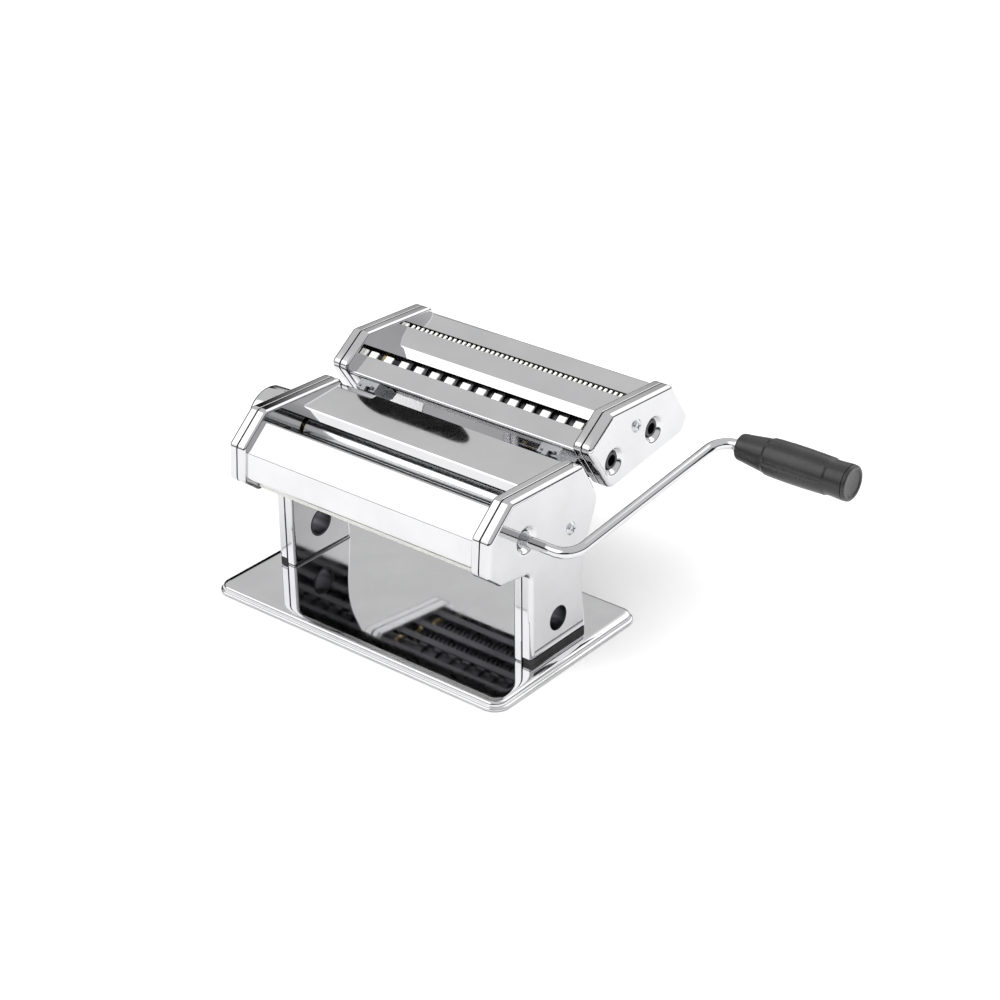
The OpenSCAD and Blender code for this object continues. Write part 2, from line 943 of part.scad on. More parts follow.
cutter_front_path = [[45.8, 113.3], [33.4, 105.5], [31.6, 104.4], on_back(4.1, hook_w), on_back(25, hook_w)];
cutter_middle_path = [[80.4, 117.2], [68.7, 112.8], [63.8, 109.8], [60.4, 105.6]];
cutter_rear_path = [[108.2, 90], [111.6, 95.6], [101.6, 115.2], [87, 112.2], [85.4, 109.4]];

module cutter_front_sheet() {
    color("silver")
        comb_sheet(cutter_front_path, [42.4, 109], [47, 115], 2 * wide_strip, 5.6);
}

module cutter_middle_sheet() {
    color("silver")
        comb_sheet(cutter_middle_path, [77.8, 114], [82, 119], 2 * fine_strip, 1.8);
}

module cutter_rear_sheet() {
    color("silver")
        folded_sheet(cutter_rear_path, sheet_t);
}

module cutter_hooks() {
    low_u = rest_u - 0.05;
    color("gray")
        for (side = [-1, 1])
            translate([side * rail_x, 0, 0]) {
                back_block(4.5, low_u, 3.7, hook_w, -6.4, 6.4);
                for (lip = [-1, 1])
                    mirror([lip < 0 ? 1 : 0, 0, 0]) {
                        back_block(4.5, low_u, 0.7, 4.2, 4.9, 6.4);
                        back_block(4.5, low_u, 0.7, 1.8, 2, 5.4);
                    }
            }
}

module cutter_bushes() {
    color("goldenrod")
        for (side = [-1, 1])
            on_side(side)
                at_cutter_axes()
                    turned_x([0, 0], [
                        [4.65, wall_x - 1.2], [7, wall_x - 1.2], [7, wall_x], [5.6, wall_x],
                        [5.6, wall_out_x + 0.2], [4.65, wall_out_x + 0.2]
                    ]);
}

// Grooved roller; the driving one ends in a socket for the crank
module cutter_roller(axis, width, first, driving) {
    half = roller_len / 2;
    low_r = cutter_r - groove_depth;
    end_x = driving ? cover_in_x - 0.9 : gear_x + gear_w;
    color("silver")
        difference() {
            turned_x(axis, concat(
                [[0, -wall_out_x - 2], [4.6, -wall_out_x - 2], [4.6, -half], [low_r, -half]],
                castle(width, first, half),
                [[low_r, half], [4.6, half], [4.6, end_x], [0, end_x]]
            ));
            if (driving)
                crank_socket(axis);
        }
}

function first_land(width, shift) = -width * 2 * floor((roller_len / 2 - width) / (2 * width)) + shift;

module wide_drive_roller() {
    cutter_roller(wide_axis, wide_strip, first_land(wide_strip, 0), true);
}

module wide_driven_roller() {
    cutter_roller(wide_axis_2, wide_strip, first_land(wide_strip, wide_strip), false);
}

module fine_drive_roller() {
    cutter_roller(fine_axis, fine_strip, first_land(fine_strip, 0), true);
}

module fine_driven_roller() {
    cutter_roller(fine_axis_2, fine_strip, first_land(fine_strip, fine_strip), false);
}

module wide_drive_gear() {
    color("dimgray")
        spur_gear(wide_axis, cutter_gear, 4.6, cutter_tilt);
}

module wide_driven_gear() {
    color("dimgray")
        spur_gear(wide_axis_2, cutter_gear, 4.6, cutter_tilt + 180 / gear_teeth);
}

module fine_drive_gear() {
    color("dimgray")
        spur_gear(fine_axis, cutter_gear, 4.6, cutter_tilt);
}

module fine_driven_gear() {
    color("dimgray")
        spur_gear(fine_axis_2, cutter_gear, 4.6, cutter_tilt + 180 / gear_teeth);
}

// Comb under a pair: a bar with fingers that reach into one roller's grooves
module stripper(axis, width, first, dir) {
    bar = axis + [dir * 1.5, -cutter_r - 2.4];
    half = roller_len / 2;
    sweep_x(-wall_x, wall_x)
        polygon([bar + [-2.5, -1.2], bar + [2.5, -1.2], bar + [2.5, 0], bar + [-2.5, 0]]);
    for (x = [first + width:2 * width:half - width])
        translate([x - width / 4, bar[0] - 1, bar[1] - 0.2])
            cube([width / 2, 2, 3]);
}

module wide_strippers() {
    color("white") {
        stripper(wide_axis, wide_strip, first_land(wide_strip, 0), -1);
        stripper(wide_axis_2, wide_strip, first_land(wide_strip, wide_strip), 1);
    }
}

module fine_strippers() {
    color("white") {
        stripper(fine_axis, fine_strip, first_land(fine_strip, 0), -1);
        stripper(fine_axis_2, fine_strip, first_land(fine_strip, fine_strip), 1);
    }
}

base_tray();
non_slip_pad();
base_screws();
foot_strips();
frame_left();
frame_right();
cover_left();
cover_right();
cover_screws();
clamp_bushes();
tie_rods();
front_guard();
slide_plate();
rear_cover();
front_scraper();
rear_scraper();
cutter_rails();
front_roller();
drive_shaft();
front_roller_gear();
front_bushes();
rear_roller();
rear_roller_gear();
slide_block_left();
slide_block_right();
regulator_shaft();
regulator_bearing();
index_ring();
shaft_end_guide();
regulator_knob();
knob_cap();
knob_pin();
knob_spring();
crank_rod();
crank_washer();
crank_grip();
grip_cap();
cutter_frame_left();
cutter_frame_right();
cutter_cover_left();
cutter_cover_right();
cutter_screws();
cutter_tie_rods();
cutter_front_sheet();
cutter_middle_sheet();
cutter_rear_sheet();
cutter_hooks();
cutter_bushes();
wide_drive_roller();
wide_driven_roller();
fine_drive_roller();
fine_driven_roller();
wide_drive_gear();
wide_driven_gear();
fine_drive_gear();
fine_driven_gear();
wide_strippers();
fine_strippers();
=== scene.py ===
"""The looks of the pasta roller machine: pressed shells, folded sheets, crank, grip and knob on the CAD frame."""

import json
import math

import bmesh
import bpy
from mathutils import Matrix, Vector
from mathutils.geometry import tessellate_polygon


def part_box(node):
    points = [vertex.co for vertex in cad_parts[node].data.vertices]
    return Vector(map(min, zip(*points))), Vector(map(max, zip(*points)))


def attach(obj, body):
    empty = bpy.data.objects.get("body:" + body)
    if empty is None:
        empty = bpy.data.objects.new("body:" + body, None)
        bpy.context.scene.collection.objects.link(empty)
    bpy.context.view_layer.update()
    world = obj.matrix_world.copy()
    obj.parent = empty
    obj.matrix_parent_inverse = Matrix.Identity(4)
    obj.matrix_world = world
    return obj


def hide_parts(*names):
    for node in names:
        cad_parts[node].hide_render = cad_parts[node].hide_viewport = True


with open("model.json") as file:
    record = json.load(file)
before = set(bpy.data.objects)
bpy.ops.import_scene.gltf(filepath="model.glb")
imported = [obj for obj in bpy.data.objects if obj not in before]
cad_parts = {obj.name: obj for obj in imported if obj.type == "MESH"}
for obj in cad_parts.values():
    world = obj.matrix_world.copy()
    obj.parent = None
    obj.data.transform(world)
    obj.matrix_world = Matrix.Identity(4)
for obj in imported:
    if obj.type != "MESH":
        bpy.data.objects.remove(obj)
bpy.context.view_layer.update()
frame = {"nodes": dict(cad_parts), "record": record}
MM = 0.001


def low(node):
    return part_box(node)[0] / MM


def high(node):
    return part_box(node)[1] / MM


# ---------------------------------------------------------------- stations, in millimetres
WALL_X = low("frame_right").x
SEAM_X = high("frame_right").x
COVER_SEAM_X = low("cover_right").x
COVER_X = high("cover_right").x
TRAY_TOP = high("base_tray").z
COVER_Z = low("cover_right").z
STRIP_INSET = 0.9
FOOT_FRONT = low("foot_strips").y - STRIP_INSET
FOOT_BACK = high("foot_strips").y + STRIP_INSET
WALL_T = 1.5
SHEET_T = 0.8
RIM_T = 1.2
BEND = 2.4
SEAM_EASE = 0.22
FRONT_AXIS = (-22.8, 79.8)
REAR_AXIS = (0.1, 79.8)
SCREW_ROD = (13.2, 71.0)
PLATE_ROD = (18.0, 94.0)
CLAMP_AXIS = (2.7, 23.6)
CLAMP_R = 6.9
CUTTER_ROD = (67.8, 107.3)
WIDE_AXIS = (48.9, 94.4)
FINE_AXIS = (83.2, 99.2)
PAIR_GAP = 14.8
PAIR_TILT = math.radians(8)
CRANK_ANGLE = math.radians(12)
ROD_HOLE_R = 2.05
SCREW_HOLE_R = 1.6
DISH_R = 8.3


# ---------------------------------------------------------------- outlines in the YZ plane
def stand_outline(z):
    return [
        (FOOT_FRONT, z, 1.2), (FOOT_BACK, z, 1.6), (22.2, 46, 50), (36.9, 80, 9), (23.5, 102.7, 3.2),
        (-33.7, 105, 4.2), (-51.4, 89.8, 4.2), (-52.8, 70.6, 4.2), (-42.2, 62, 3.2), (FOOT_FRONT, 58.6, 4.5),
    ]


CUTTER_OUTLINE = [
    (46.4, 78.8, 6), (109.6, 86.8, 6), (115, 95.2, 4), (99.6, 118.5, 5), (47, 121.3, 4), (27.4, 107.6, 4),
]


def left_normal(a, b):
    d = (b - a).normalized()
    return Vector((-d.y, d.x))


def cross2(a, b):
    return a.x * b.y - a.y * b.x


def corner_frame(p, i):
    here = Vector(p[i][:2])
    u = left_normal(Vector(p[i - 1][:2]), here)
    v = left_normal(here, Vector(p[(i + 1) % len(p)][:2]))
    return here, u, v, (1 if cross2(u, v) > 0 else -1)


def inset(p, d):
    out = []
    for i in range(len(p)):
        here, u, v, turn = corner_frame(p, i)
        q = here + d * (u + v) / (1 + u.dot(v))
        out.append((q.x, q.y, max(p[i][2] - turn * d, 0.25)))
    return out


def rounded(p, step=7):
    """Points of a counter-clockwise outline with its corners rounded; every radius gives the same count."""
    out = []
    for i in range(len(p)):
        here, u, v, turn = corner_frame(p, i)
        r = p[i][2]
        sweep = math.atan2(cross2(u, v), u.dot(v))
        steps = max(3, math.ceil(abs(math.degrees(sweep)) / step))
        centre = here + turn * r * (u + v) / (1 + u.dot(v))
        for k in range(steps + 1):
            a = sweep * k / steps
            c, s = math.cos(a), math.sin(a)
            out.append(centre - turn * r * Vector((u.x * c - u.y * s, u.x * s + u.y * c)))
    return out


def filleted(path, radius, step=9):
    """An open path with its inner corners rounded; radius is one number or one for each inner corner."""
    radii = radius if isinstance(radius, (list, tuple)) else [radius] * (len(path) - 2)
    out = [Vector(path[0])]
    for i in range(1, len(path) - 1):
        a, b, c = Vector(path[i - 1]), Vector(path[i]), Vector(path[i + 1])
        u, v = left_normal(a, b), left_normal(b, c)
        turn = 1 if cross2(u, v) > 0 else -1
        sweep = math.atan2(cross2(u, v), u.dot(v))
        room = 0.45 * min((b - a).length, (c - b).length)
        r = min(radii[i - 1], room / max(abs(math.tan(sweep / 2)), 1e-6))
        centre = b + turn * r * (u + v) / (1 + u.dot(v))
        steps = max(2, math.ceil(abs(math.degrees(sweep)) / step))
        for k in range(steps + 1):
            t = sweep * k / steps
            cs, sn = math.cos(t), math.sin(t)
            out.append(centre - turn * r * Vector((u.x * cs - u.y * sn, u.x * sn + u.y * cs)))
    out.append(Vector(path[-1]))
    return out


def offset(points, t):
    """The same open path, moved t to its left."""
    out = []
    last = len(points) - 1
    for i, p in enumerate(points):
        u = left_normal(points[max(i - 1, 0)], points[max(i, 1)])
        v = left_normal(points[min(i, last - 1)], points[min(i + 1, last)])
        out.append(p + t * (u + v) / (1 + u.dot(v)))
    return out


def spokes(r, steps):
    """Points around a circle of radius r about the origin."""
    return [
        (r * math.cos(2 * math.pi * k / steps), r * math.sin(2 * math.pi * k / steps))
        for k in range(steps)
    ]


def circle(centre, r, steps=48):
    return [Vector((centre[0] + p, centre[1] + q)) for p, q in spokes(r, steps)]


# ---------------------------------------------------------------- meshes
class Maker:
    """Collects vertices in millimetres and faces, then makes one object of them."""

    def __init__(self):
        self.co = []
        self.faces = []

    def ring(self, points):
        start = len(self.co)
        self.co.extend(points)
        return list(range(start, len(self.co)))

    def band(self, a, b, closed=True):
        n = len(a)
        for i in range(n if closed else n - 1):
            j = (i + 1) % n
            self.faces.append((a[i], a[j], b[j], b[i]))

    def fan(self, ring, tip):
        n = len(ring)
        for i in range(n):
            self.faces.append((ring[i], ring[(i + 1) % n], tip))

    def fill(self, outer, holes=()):
        loops = [[Vector(self.co[i]) for i in loop] for loop in [outer, *holes]]
        flat = [i for loop in [outer, *holes] for i in loop]
        for tri in tessellate_polygon(loops):
            self.faces.append(tuple(flat[i] for i in tri))

    def lathe(self, profile, place, steps=96):
        """profile is [(radius, x)]; a radius of 0 closes the end."""
        rings = []
        for r, x in profile:
            if r <= 0:
                rings.append(self.ring([place(x, 0, 0)]))
            else:
                rings.append(self.ring([place(x, p, q) for p, q in spokes(r, steps)]))
        for a, b in zip(rings, rings[1:]):
            if len(a) == 1:
                self.fan(b, a[0])
            elif len(b) == 1:
                self.fan(a, b[0])
            else:
                self.band(a, b)

    def sweep(self, outline, x0, x1):
        """A closed outline of [y, z] as a solid from x0 to x1."""
        a = self.ring([(x0, p[0], p[1]) for p in outline])
        b = self.ring([(x1, p[0], p[1]) for p in outline])
        self.band(a, b)
        self.fill(a)
        self.fill(b)

    def make(self, name, material, smooth=35, second=None, first_of_second=0):
        mesh = bpy.data.meshes.new(name)
        mesh.from_pydata([tuple(MM * c for c in p) for p in self.co], [], self.faces)
        if second:
            for face in mesh.polygons:
                face.material_index = int(face.index >= first_of_second)
        work = bmesh.new()
        work.from_mesh(mesh)
        bmesh.ops.remove_doubles(work, verts=work.verts, dist=1e-7)
        bmesh.ops.recalc_face_normals(work, faces=work.faces)
        work.to_mesh(mesh)
        work.free()
        for face in mesh.polygons:
            face.use_smooth = True
        mesh.set_sharp_from_angle(angle=math.radians(smooth))
        mesh.materials.append(material)
        if second:
            mesh.materials.append(second)
        obj = bpy.data.objects.new(name, mesh)
        bpy.context.scene.collection.objects.link(obj)
        return obj


def place_piece(obj, body, slot, *nodes):
    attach(obj, body)
    if nodes:
        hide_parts(*nodes)
    return obj


def about_x(axis):
    """Puts a lathe's x, a, b on an axis along X at [y, z]."""
    return lambda x, a, b: (x, axis[0] + a, axis[1] + b)


# ---------------------------------------------------------------- materials
class Shader:
    """A node material with the few pieces that all finishes here are made of."""

    def __init__(self, name):
        self.mat = bpy.data.materials.new(name)
        self.mat.use_nodes = True
        self.tree = self.mat.node_tree
        self.bsdf = next(n for n in self.tree.nodes if n.type == "BSDF_PRINCIPLED")
        self.coord = self.tree.nodes.new("ShaderNodeTexCoord")

    def stretched(self, scale):
        mapping = self.tree.nodes.new("ShaderNodeMapping")
        mapping.inputs["Scale"].default_value = scale
        self.tree.links.new(self.coord.outputs["Object"], mapping.inputs["Vector"])
        return mapping.outputs["Vector"]

    def noise(self, scale, detail=3.0, rough=0.5, stretch=(1, 1, 1)):
        node = self.tree.nodes.new("ShaderNodeTexNoise")
        node.inputs["Scale"].default_value = scale
        node.inputs["Detail"].default_value = detail
        node.inputs["Roughness"].default_value = rough
        self.tree.links.new(self.stretched(stretch), node.inputs["Vector"])
        return node.outputs["Fac"]

    def ramp(self, source, low_at, high_at, low_color, high_color):
        node = self.tree.nodes.new("ShaderNodeValToRGB")
        node.color_ramp.elements[0].position = low_at
        node.color_ramp.elements[1].position = high_at
        node.color_ramp.elements[0].color = (*low_color, 1)
        node.color_ramp.elements[1].color = (*high_color, 1)
        self.tree.links.new(source, node.inputs["Fac"])
        return node.outputs["Color"]

    def spread(self, source, low_to, high_to, low_from=0.3, high_from=0.7):
        node = self.tree.nodes.new("ShaderNodeMapRange")
        node.inputs["From Min"].default_value = low_from
        node.inputs["From Max"].default_value = high_from
        node.inputs["To Min"].default_value = low_to
        node.inputs["To Max"].default_value = high_to
        self.tree.links.new(source, node.inputs["Value"])
        return node.outputs["Result"]

    def bump(self, source, distance, strength=1.0, under=None):
        node = self.tree.nodes.new("ShaderNodeBump")
        node.inputs["Strength"].default_value = strength
        node.inputs["Distance"].default_value = distance
        self.tree.links.new(source, node.inputs["Height"])
        if under is not None:
            self.tree.links.new(under, node.inputs["Normal"])
        return node.outputs["Normal"]

    def feed(self, socket, source):
        self.tree.links.new(source, self.bsdf.inputs[socket])


def metal(name, dark, light, rough, wave, grain=None, grain_depth=0.0):
    """Metal, faintly cloudy in colour and roughness, with slow waves and, if asked for, a grain."""
    s = Shader(name)
    s.bsdf.inputs["Metallic"].default_value = 1.0
    cloud = s.noise(28, 4, 0.6)
    s.feed("Base Color", s.ramp(cloud, 0.3, 0.7, dark, light))
    s.feed("Roughness", s.spread(s.noise(120, 5, 0.65), rough[0], rough[1]))
    normal = s.bump(s.noise(9, 1.0, 0.4), wave) if wave else None
    if grain:
        normal = s.bump(s.noise(260, 3, 0.6, grain), grain_depth, 0.6, normal)
    if normal is not None:
        s.feed("Normal", normal)
    return s.mat


def plastic(name, dark, light, rough, grain_scale, grain_depth):
    s = Shader(name)
    s.feed("Base Color", s.ramp(s.noise(60, 4, 0.6), 0.3, 0.7, dark, light))
    s.feed("Roughness", s.spread(s.noise(300, 4, 0.6), rough[0], rough[1]))
    s.feed("Normal", s.bump(s.noise(grain_scale, 2, 0.5), grain_depth, 0.5))
    return s.mat


CHROME = metal("chrome_plate", (0.62, 0.62, 0.63), (0.68, 0.68, 0.69), (0.025, 0.06), 0.00012)
CHROME_FLAT = metal("chrome_plate_flat", (0.60, 0.60, 0.61), (0.66, 0.66, 0.67), (0.03, 0.07), 0.00006)
ZINC = metal("zinc_fastener", (0.50, 0.51, 0.53), (0.66, 0.67, 0.69), (0.18, 0.3), 0)
ALONG_X = (0.06, 1, 1)
AROUND_X = (1, 0.1, 0.1)
GROUND = metal("ground_roller", (0.60, 0.61, 0.62), (0.72, 0.72, 0.73), (0.12, 0.22), 0, ALONG_X, 0.00002)
TURNED = metal("turned_steel", (0.42, 0.43, 0.45), (0.56, 0.57, 0.59), (0.26, 0.36), 0, AROUND_X, 0.000005)
# Near-black steel: painted shade for the clamp bushes and cutter rollers that sit deep in their recesses
RECESS_SHADE_STEEL = metal("painted_shade_steel", (0.05, 0.05, 0.055), (0.09, 0.09, 0.10), (0.3, 0.45), 0, ALONG_X, 0.00002)
SHADED = metal("shaded_steel", (0.20, 0.20, 0.205), (0.26, 0.26, 0.265), (0.22, 0.32), 0.00006)
BRASS = metal("bush_brass", (0.62, 0.46, 0.2), (0.75, 0.6, 0.32), (0.22, 0.38), 0, AROUND_X, 0.00002)
NYLON = plastic("white_nylon", (0.72, 0.72, 0.68), (0.84, 0.84, 0.81), (0.42, 0.55), 900, 0.00003)
BLACK = plastic("black_plastic", (0.012, 0.012, 0.013), (0.026, 0.026, 0.027), (0.24, 0.36), 1600, 0.00003)
# Near-black inner skins: painted shade, so the seam gaps between frame and cover and the holes read dark
PAN_INSIDE_SHADE = metal("painted_shade_inside", (0.10, 0.10, 0.105), (0.15, 0.15, 0.155), (0.4, 0.55), 0)
RUBBER = plastic("pad_rubber", (0.02, 0.02, 0.02), (0.05, 0.05, 0.05), (0.55, 0.75), 700, 0.0001)
FINISH = {
    "polished_chrome": CHROME, "zinc_screws": ZINC, "roller_steel": GROUND, "machined_steel": TURNED,
    "bush_brass": BRASS, "white_nylon": NYLON, "black_plastic": BLACK, "pad_rubber": RUBBER,
}


# ---------------------------------------------------------------- pressed pans
def bend_rings(radius, face_x, out, steps=7):
    """(inset, x) of a rounded edge that runs from a rim to a face; out is +1 or -1 along X."""
    rings = []
    for k in range(steps + 1):
        a = math.pi / 2 * k / steps
        rings.append((radius * (1 - math.cos(a)), face_x - out * radius * (1 - math.sin(a))))
    return rings


def pressed_pan(name, outline, outer, inner, holes, side):
    """A pan whose outer and inner skins are rings of (inset, x) from the seam edge to the face."""
    m = Maker()
    outside = 0

    def rings(skin):
        return [m.ring([(side * x, p.x, p.y) for p in rounded(inset(outline, d))]) for d, x in skin]

    ends = []
    skins = []
    for rows in (outer, inner):
        skin = rings(rows)
        for a, b in zip(skin, skin[1:]):
            m.band(a, b)
        loops = [m.ring([(side * rows[-1][1], p.x, p.y) for p in hole]) for hole in holes]
        m.fill(skin[-1], loops)
        skins.append(skin)
        ends.append(loops)
        outside = outside or len(m.faces)
    m.band(skins[0][0], skins[1][0])
    for a, b in zip(*ends):
        m.band(a, b)
    # the inner skin faces take the painted shade material, which darkens the seam gaps
    return m.make(name, CHROME_FLAT, 30, PAN_INSIDE_SHADE, outside)


def cover_skins(outer_r=BEND):
    lip = 0.15
    edge = COVER_SEAM_X + SEAM_EASE
    outer = [(lip, edge), (0, edge + lip), (0, COVER_X - outer_r - 0.1)]
    outer += bend_rings(outer_r, COVER_X, 1)
    outer += [(outer_r + 0.15, COVER_X)]
    t = SHEET_T
    inner = [(t - lip / 2, edge), (t, edge + lip), (t, COVER_X - outer_r)]
    inner += [(d + t, x - t) for d, x in bend_rings(outer_r - t, COVER_X, 1)]
    inner += [(outer_r + 0.15, COVER_X - t)]
    return outer, inner


def frame_skins(outer_r=1.6):
    lip = 0.2
    edge = SEAM_X - SEAM_EASE
    web = WALL_X + WALL_T
    outer = [(lip, edge), (0, edge - lip), (0, WALL_X + outer_r + 0.1)]
    outer += bend_rings(outer_r, WALL_X, -1)
    outer += [(outer_r + 0.15, WALL_X)]
    inner = [(RIM_T - lip / 2, edge), (RIM_T, edge - lip), (RIM_T, web), (RIM_T + 0.2, web)]
    return outer, inner


def dish(m, axis, side):
    """The rolled lip of a crank hole."""
    lip = [
        (DISH_R, 0.0), (7.9, -0.04), (7.45, -0.2), (7.0, -0.55), (6.6, -1.1), (6.2, -1.7), (5.7, -2.3),
        (5.15, -2.9), (5.0, -3.0), (5.1, -3.0), (5.8, -2.6), (6.6, -1.8), (7.2, -1.0), (7.9, -0.8), (DISH_R, -0.8),
    ]
    m.lathe([(r, side * (COVER_X + x)) for r, x in lip], about_x(axis), 64)


outer, inner = cover_skins()
for side, label in ((1, "right"), (-1, "left")):
    holes = [circle(CLAMP_AXIS, CLAMP_R), circle(SCREW_ROD if side > 0 else PLATE_ROD, SCREW_HOLE_R, 24)]
    holes.append(circle(FRONT_AXIS, DISH_R, 64) if side > 0 else circle(REAR_AXIS, 8.0, 64))
    shell = pressed_pan("cover_shell_" + label, stand_outline(COVER_Z), outer, inner, holes, side)
    place_piece(shell, "stand", "polished_chrome", "cover_" + label)
lips = Maker()
dish(lips, FRONT_AXIS, 1)
place_piece(lips.make("crank_hole_lip", CHROME), "stand", "polished_chrome")

f_outer, f_inner = frame_skins()
GUARD_ROD = (-38.5, 66.5)
rod_holes = [circle(p, ROD_HOLE_R, 24) for p in (GUARD_ROD, SCREW_ROD, PLATE_ROD)]
for side, label in ((1, "right"), (-1, "left")):
    rear_hole = circle(REAR_AXIS, 8.2, 64)
    if side < 0:
        y0, y1 = REAR_AXIS[0] - 8.9, REAR_AXIS[0] + 8.9
        z0, z1 = REAR_AXIS[1] - 6.55, REAR_AXIS[1] + 6.55
        rear_hole = [Vector(p) for p in ((y0, z0), (y1, z0), (y1, z1), (y0, z1))]
    holes = [circle(FRONT_AXIS, 7, 64), circle(CLAMP_AXIS, CLAMP_R + 1.3), rear_hole, *rod_holes]
    shell = pressed_pan("frame_shell_" + label, stand_outline(TRAY_TOP), f_outer, f_inner, holes, side)
    place_piece(shell, "stand", "polished_chrome", "frame_" + label)

pair_step = PAIR_GAP * Vector((math.cos(PAIR_TILT), math.sin(PAIR_TILT)))
cutter_axes = [Vector(axis) + step for axis in (WIDE_AXIS, FINE_AXIS) for step in (Vector((0, 0)), pair_step)]
for side, label in ((1, "right"), (-1, "left")):
    holes = [circle(CUTTER_ROD, SCREW_HOLE_R, 24)]
    if side > 0:
        holes += [circle(WIDE_AXIS, DISH_R, 64), circle(FINE_AXIS, DISH_R, 64)]
    shell = pressed_pan("cutter_cover_shell_" + label, CUTTER_OUTLINE, outer, inner, holes, side)
    place_piece(shell, "cutter_unit", "polished_chrome", "cutter_cover_" + label)
    holes = [circle(a, 5.6, 48) for a in cutter_axes] + [circle(CUTTER_ROD, ROD_HOLE_R, 24)]
    shell = pressed_pan("cutter_frame_shell_" + label, CUTTER_OUTLINE, f_outer, f_inner, holes, side)
    place_piece(shell, "cutter_unit", "polished_chrome", "cutter_frame_" + label)
lips = Maker()
dish(lips, WIDE_AXIS, 1)
dish(lips, FINE_AXIS, 1)
place_piece(lips.make("cutter_hole_lips", CHROME), "cutter_unit", "polished_chrome")


# ---------------------------------------------------------------- folded sheets
def folded(m, path, t, x0, x1):
    """A sheet that follows path on its left side."""
    m.sweep(list(path) + list(reversed(offset(path, t))), x0, x1)


def sheet_piece(name, body, node, path, radius, material=CHROME):
    m = Maker()
    folded(m, filleted(path, radius), SHEET_T, -WALL_X, WALL_X)
    return place_piece(m.make(name, material, 25), body, "polished_chrome", node)


RAIL_ANGLE = math.radians(57.5)
RAIL_TOP = Vector((23.5, 102.7))


def on_back(u, w):
    """A place on the stand's sloping back: u down the slope, w away from it."""
    down = Vector((math.cos(RAIL_ANGLE), -math.sin(RAIL_ANGLE)))
    away = Vector((math.sin(RAIL_ANGLE), math.cos(RAIL_ANGLE)))
    return RAIL_TOP + u * down + w * away


sheet_piece(
    "guard_sheet", "stand", "front_guard",
    [(-31.4, 97.4), (-34.9, 100), (-49.6, 87.2), (-50.8, 72.6), (-46, 68.6)], [1.4, 1.6, 2.0],
)
sheet_piece("slide_sheet", "stand", "slide_plate", [(22.6, 100.5), (-8.6, 99.8), (-11.2, 95.2)], 2.2)
sheet_piece(
    "stand_back_sheet", "stand", "rear_cover",
    [(28.6, 67.4), (34.6, 78.6), on_back(22.5, -0.9), on_back(3.5, -0.9)], [2.0, 4.0], SHADED,
)
sheet_piece(
    "cutter_back_sheet", "cutter_unit", "cutter_rear_sheet",
    [(108.2, 90), (111.6, 95.6), (101.6, 115.2), (87, 112.2)], [2.5, 3.0],
)


def comb(m, path, t, pitch, tooth, x_limit):
    """Teeth of a comb: the same short path at every pitch."""
    count = int((2 * x_limit - 8) / pitch)
    for n in range(count + 1):
        x = (n - count / 2) * pitch
        folded(m, path, t, x - tooth / 2, x + tooth / 2)


def toothed_sheet(name, node, path, radii, root_at, pitch, tooth):
    """A folded sheet whose first stretch, from the tip to root_at of its length, is a comb."""
    tip, nxt = Vector(path[0]), Vector(path[1])
    root = tip + (nxt - tip) * root_at
    m = Maker()
    folded(m, filleted([root, *path[1:]], radii), SHEET_T, -WALL_X, WALL_X)
    sheet_faces = len(m.faces)
    comb(m, [tip, root], SHEET_T, pitch, tooth, WALL_X)
    for side in (-1, 1):
        edge = side * WALL_X
        folded(m, [tip, root], SHEET_T, min(edge, edge - side * 2.2), max(edge, edge - side * 2.2))
    return place_piece(m.make(name, CHROME, 25, NYLON, sheet_faces), "cutter_unit", "polished_chrome", node)


toothed_sheet(
    "cutter_front_comb", "cutter_front_sheet",
    [(44.7, 112.6), (33.4, 105.5), (31.6, 104.4), on_back(4.1, 6.5), on_back(25, 6.5)],
    [3.0, 1.2, 1.2], 0.28, 10.7, 5.1,
)
toothed_sheet(
    "cutter_middle_comb", "cutter_middle_sheet",
    [(78.3, 116.4), (68.7, 112.8), (63.8, 109.8), (60.4, 105.6)], [2.5, 4.0], 0.22, 3.3, 1.5,
)


# ---------------------------------------------------------------- base tray
TRAY_CORNER_R = 9


def tray_loop(d, z):
    far = high("base_tray")
    w, h, r = far.x - d, far.y - d, max(TRAY_CORNER_R - d, 1)
    box = [(-w, -h, r), (w, -h, r), (w, h, r), (-w, h, r)]
    return [(p.x, p.y, z) for p in rounded(box, 5)]


tray = Maker()
top = TRAY_TOP
profile = [
    (1.0, 0.45), (0.35, 0.4), (0.08, 0.65), (0, 1.1), (0.12, 1.6), (0.5, 1.95), (1.0, 2.1), (1.25, 2.25),
    (1.4, 2.6), (1.48, 3.2), (1.62, 3.8), (1.95, 4.3), (2.45, top - 0.4), (3.1, top - 0.18), (4.2, top - 0.05),
    (6.0, top), (8.0, top),
]
rings = [tray.ring(tray_loop(d, z)) for d, z in profile]
for a, b in zip(rings, rings[1:]):
    tray.band(a, b)
tray.fill(rings[-1])
under = [tray.ring(tray_loop(d, z)) for d, z in ((1.0, 0.45), (1.5, 1.4), (2.6, 2.8), (4.0, top - 1.0))]
for a, b in zip(under, under[1:]):
    tray.band(a, b)
tray.fill(under[-1])
place_piece(tray.make("tray_shell", CHROME, 50), "stand", "polished_chrome", "base_tray")


# ---------------------------------------------------------------- crank
def crank_point(x, along, across=0.0):
    """Crank plane to the frame: x along the rollers, along the arm, across it."""
    c, s = math.cos(CRANK_ANGLE), math.sin(CRANK_ANGLE)
    return (x, FRONT_AXIS[0] + along * c - across * s, FRONT_AXIS[1] + along * s + across * c)


